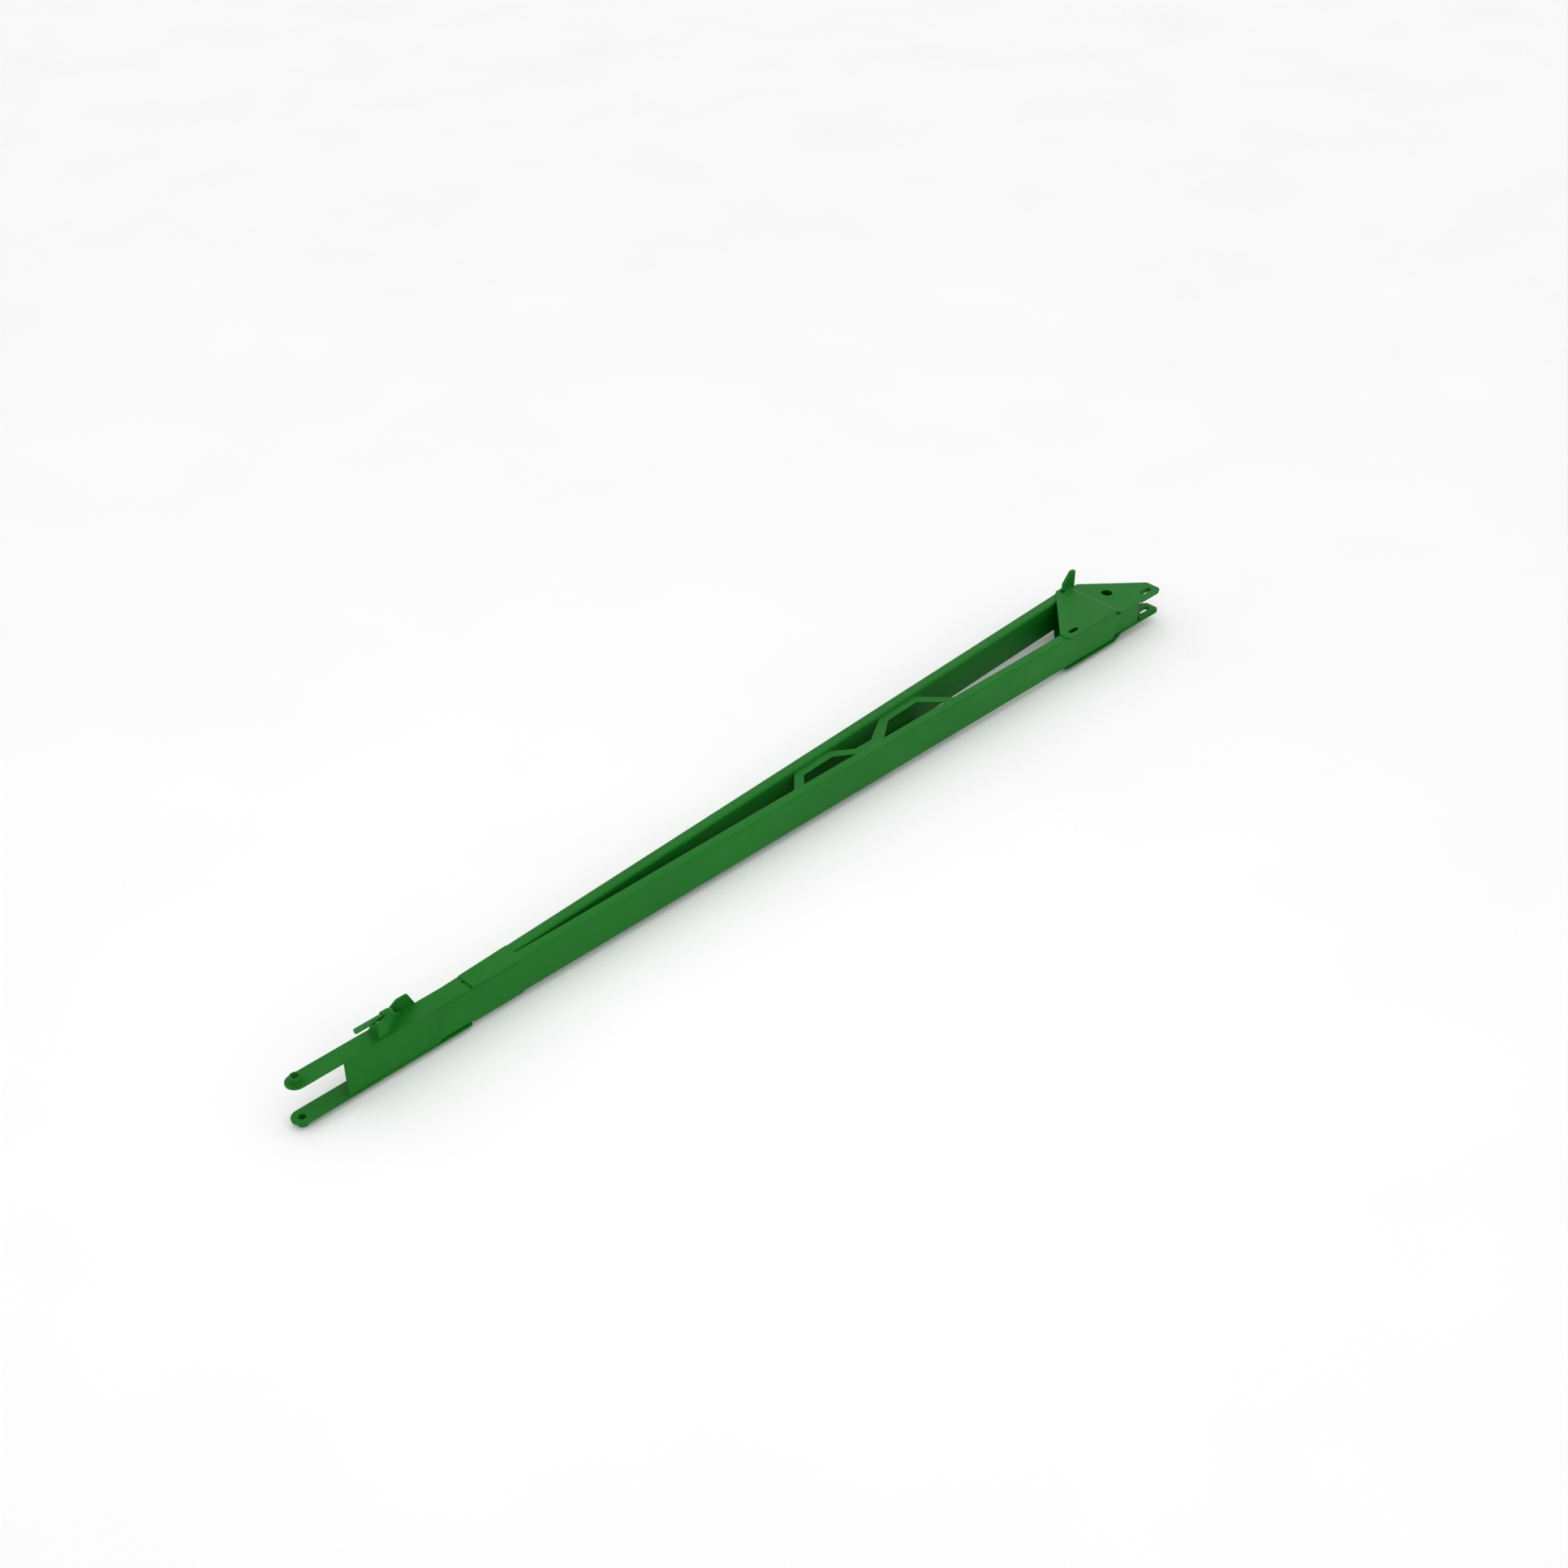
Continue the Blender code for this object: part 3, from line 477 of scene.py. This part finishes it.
def head_welds():
    """Front and slanting edges of the head plates, and their joints with the ears."""
    tube_low = BOX["leg_tube_near"][0]
    for level, outward in LEVELS:
        seat = level_face("leg_tube_near", outward)
        low, high = BOX["head_plate_" + level]
        foot = Vector((low.x, low.y + HEAD_SLANT_FOOT, seat))
        cross_fillet(f"weld_head_{level}_front", low.x, tube_low.y + TUBE_CORNER, foot.y - SLANT_FRONT_STOP,
                     seat, TO_FORK, outward)
        corner = Vector((low.x + HEAD_SLANT_RUN, high.y, seat))
        slope = (corner.y - foot.y) / (corner.x - foot.x)
        span = (onto_far_leg(foot, slope), corner.x - SLANT_END_STOP)
        slant = [Vector((x, foot.y + slope * (x - foot.x), seat)) for x in span]
        fillet(f"weld_head_{level}_slant", slant, outward, Vector((-slope, 1, 0)).normalized())
        ear = "ear_plate_" + level
        low, high = BOX[ear]
        for side, up in (("outer", outward), ("inner", -outward)):
            z = level_face(ear, up)
            joint = [Vector((low.x, y, z)) for y in (low.y + EDGE_RADIUS, high.y - EDGE_RADIUS)]
            seam(f"weld_ear_{level}_{side}", joint, up, SEAM_EAR, SEAM_RISE_EAR, rippled=False)


def ear_welds():
    """Fillets of the three ear webs and the ear pads, and the near edge of the end plate."""
    end_plate = BOX["head_end_plate"]
    near_x = end_plate[0].x + BEND_RUN
    web_fillets("ear_web_near", near_x, BOX["ear_web_near"][1].x)
    web_fillets("ear_web_far", near_x, BOX["ear_web_far"][1].x - END_TAPER)
    low, high = BOX["ear_web_slant"]
    along = Vector((math.cos(EAR_SLANT), -math.sin(EAR_SLANT), 0))
    inward = Vector((-math.sin(EAR_SLANT), -math.cos(EAR_SLANT), 0))
    first = Vector((low.x - inward.x * PLATE, high.y, 0))
    length = (high.x - first.x) / along.x
    for face, origin, out in (("out", first, -inward), ("in", first + inward * PLATE, inward)):
        for edge, z, up in (("top", high.z, -UP), ("foot", low.z, UP)):
            path = [origin + UP * z + along * d for d in (END_TAPER, length)]
            fillet(f"weld_ear_web_slant_{face}_{edge}", path, up, out)
    for level, outward in LEVELS:
        pad = "ear_pad_" + level
        outline = rounded_box_path(*BOX[pad], level_face(pad, outward), PLATE, -outward)
        ring_fillet(f"weld_ear_pad_{level}", outline, -outward, LEG_LARGE)
    low, high = BOX["leg_tube_near"]
    span = (end_plate[0].z + TUBE_CORNER, end_plate[1].z - TUBE_CORNER)
    joint = [Vector((high.x + PLATE / 2, low.y, z)) for z in span]
    seam("weld_end_plate_near", joint, TO_NEAR, SEAM_WIDE, SEAM_RISE_END_PLATE)


def lug_welds():
    """Fillets round the foot of the head lug, down over the plate's bend."""
    low, high = BOX["head_lug"]
    plate_low, plate_high = BOX["head_plate_upper"]
    bend = plate_low.x + BEND_START
    top = plate_high.z
    path = [Vector((low.x, low.y, top)), Vector((bend, low.y, top)),
            Vector((bend + BEND_RUN, low.y, top - BEND_DROP)), Vector((high.x, low.y, top - BEND_DROP))]
    fillet("weld_lug_near", path, UP, TO_NEAR, LEG_LARGE)
    cross_fillet("weld_lug_front", low.x, low.y, high.y, top, TO_FORK, leg=LEG_LARGE)
    cross_fillet("weld_lug_back", high.x, low.y, high.y, top - BEND_DROP, TO_HEAD, leg=LEG_LARGE)


def bracket_welds():
    """Feet of the rod bracket's plates on the fork plate, its front corner, and the fold of its side."""
    top = BOX["fork_plate_upper"][1].z
    low, high = BOX["rod_bracket_front"]
    cross_fillet("weld_bracket_front", low.x, low.y, high.y, top, TO_FORK)
    cross_fillet("weld_bracket_back", high.x, low.y, high.y, top, TO_HEAD)
    side_low, side_high = BOX["rod_bracket_side"]
    path = [Vector((low.x, side_low.y, top)), Vector((side_high.x, side_low.y, top))]
    fillet("weld_bracket_side", path, UP, TO_NEAR)
    joint = [Vector((high.x, low.y, z)) for z in (top, high.z)]
    seam("weld_bracket_corner", joint, TO_NEAR, rise=SEAM_RISE_BRACKET)
    brace_high = BOX["rod_bracket_brace"][1]
    start = Vector((side_high.x, side_low.y, top))
    end = Vector((brace_high.x, brace_high.y - PLATE, top))
    across = (end - start).normalized().cross(UP)
    fillet("weld_bracket_brace", [start, end], UP, across)
    joint = [start, Vector((start.x, start.y, side_high.z))]
    seam("weld_bracket_fold", joint, (across + TO_NEAR).normalized(), SEAM_WIDE, SEAM_RISE_FOLD)
    low, high = BOX["rod_bracket_fin"]
    fillet("weld_bracket_fin", [Vector((x, low.y, top)) for x in (low.x, high.x)], UP, TO_NEAR)
    low, high = BOX["rod_bracket_saddle"]
    cross_fillet("weld_saddle_front", low.x, low.y, high.y, top, TO_FORK)
    cross_fillet("weld_saddle_back", high.x, low.y, high.y, top, TO_HEAD)


# ---------------------------------------------------------------- studio

def pin_top():
    """Where the fork's pin axis meets the top of the upper fork plate."""
    low, high = BOX["fork_boss_upper"]
    top = BOX["fork_plate_upper"][1].z
    return Vector(((low.x + high.x) / 2, (low.y + high.y) / 2, top))


def add_camera():
    """Camera at the photograph's viewing angle."""
    data = bpy.data.cameras.new("camera")
    data.sensor_width = CAMERA_SENSOR
    data.angle = CAMERA_FIELD
    data.clip_end = CAMERA_REACH
    camera = bpy.data.objects.new("camera", data)
    bpy.context.scene.collection.objects.link(camera)
    target = pin_top() + AIM_FROM_PIN
    towards = VIEW_DIRECTION.normalized()
    camera.location = target - towards * CAMERA_DISTANCE
    camera.rotation_euler = towards.to_track_quat("-Z", "Y").to_euler()
    bpy.context.scene.camera = camera


def add_floor():
    """Plain pale floor with a slow, faint change of tone."""
    mesh = bpy.data.meshes.new("floor")
    corners = [(x * FLOOR_REACH, y * FLOOR_REACH, 0) for x, y in ((-1, -1), (1, -1), (1, 1), (-1, 1))]
    mesh.from_pydata(corners, [], [(0, 1, 2, 3)])
    floor = bpy.data.objects.new("floor", mesh)
    bpy.context.scene.collection.objects.link(floor)
    graph = Graph("floor")
    shade = graph.mapped(graph.noise(scale=0.6, detail=2.0), 0.3, 0.7, 0.0, 1.0)
    graph.join(graph.mixed(shade, FLOOR_PALE, FLOOR_GREY), graph.shader.inputs["Base Color"])
    graph.shader.inputs["Roughness"].default_value = FLOOR_ROUGHNESS
    mesh.materials.append(graph.material)


def add_world():
    """Even white surroundings, shown with the plain view transform."""
    world = bpy.data.worlds.new("studio")
    world.use_nodes = True
    background = world.node_tree.nodes["Background"]
    background.inputs["Color"].default_value = (1, 1, 1, 1)
    background.inputs["Strength"].default_value = WORLD_STRENGTH
    bpy.context.scene.world = world
    bpy.context.scene.view_settings.view_transform = "Standard"


def add_softbox():
    """Wide, weak panel over the arm, a little towards the fork's end."""
    data = bpy.data.lights.new("softbox", "AREA")
    data.shape = "RECTANGLE"
    data.size = SOFTBOX_LENGTH
    data.size_y = SOFTBOX_WIDTH
    data.energy = SOFTBOX_POWER
    softbox = bpy.data.objects.new("softbox", data)
    softbox.location = SOFTBOX_PLACE
    softbox.rotation_euler = (-SOFTBOX_PLACE).to_track_quat("-Z", "Y").to_euler()
    bpy.context.scene.collection.objects.link(softbox)


finish_cad_nodes()
fork_welds()
splice_welds()
lattice_welds()
head_welds()
ear_welds()
lug_welds()
bracket_welds()
add_camera()
add_floor()
add_world()
add_softbox()
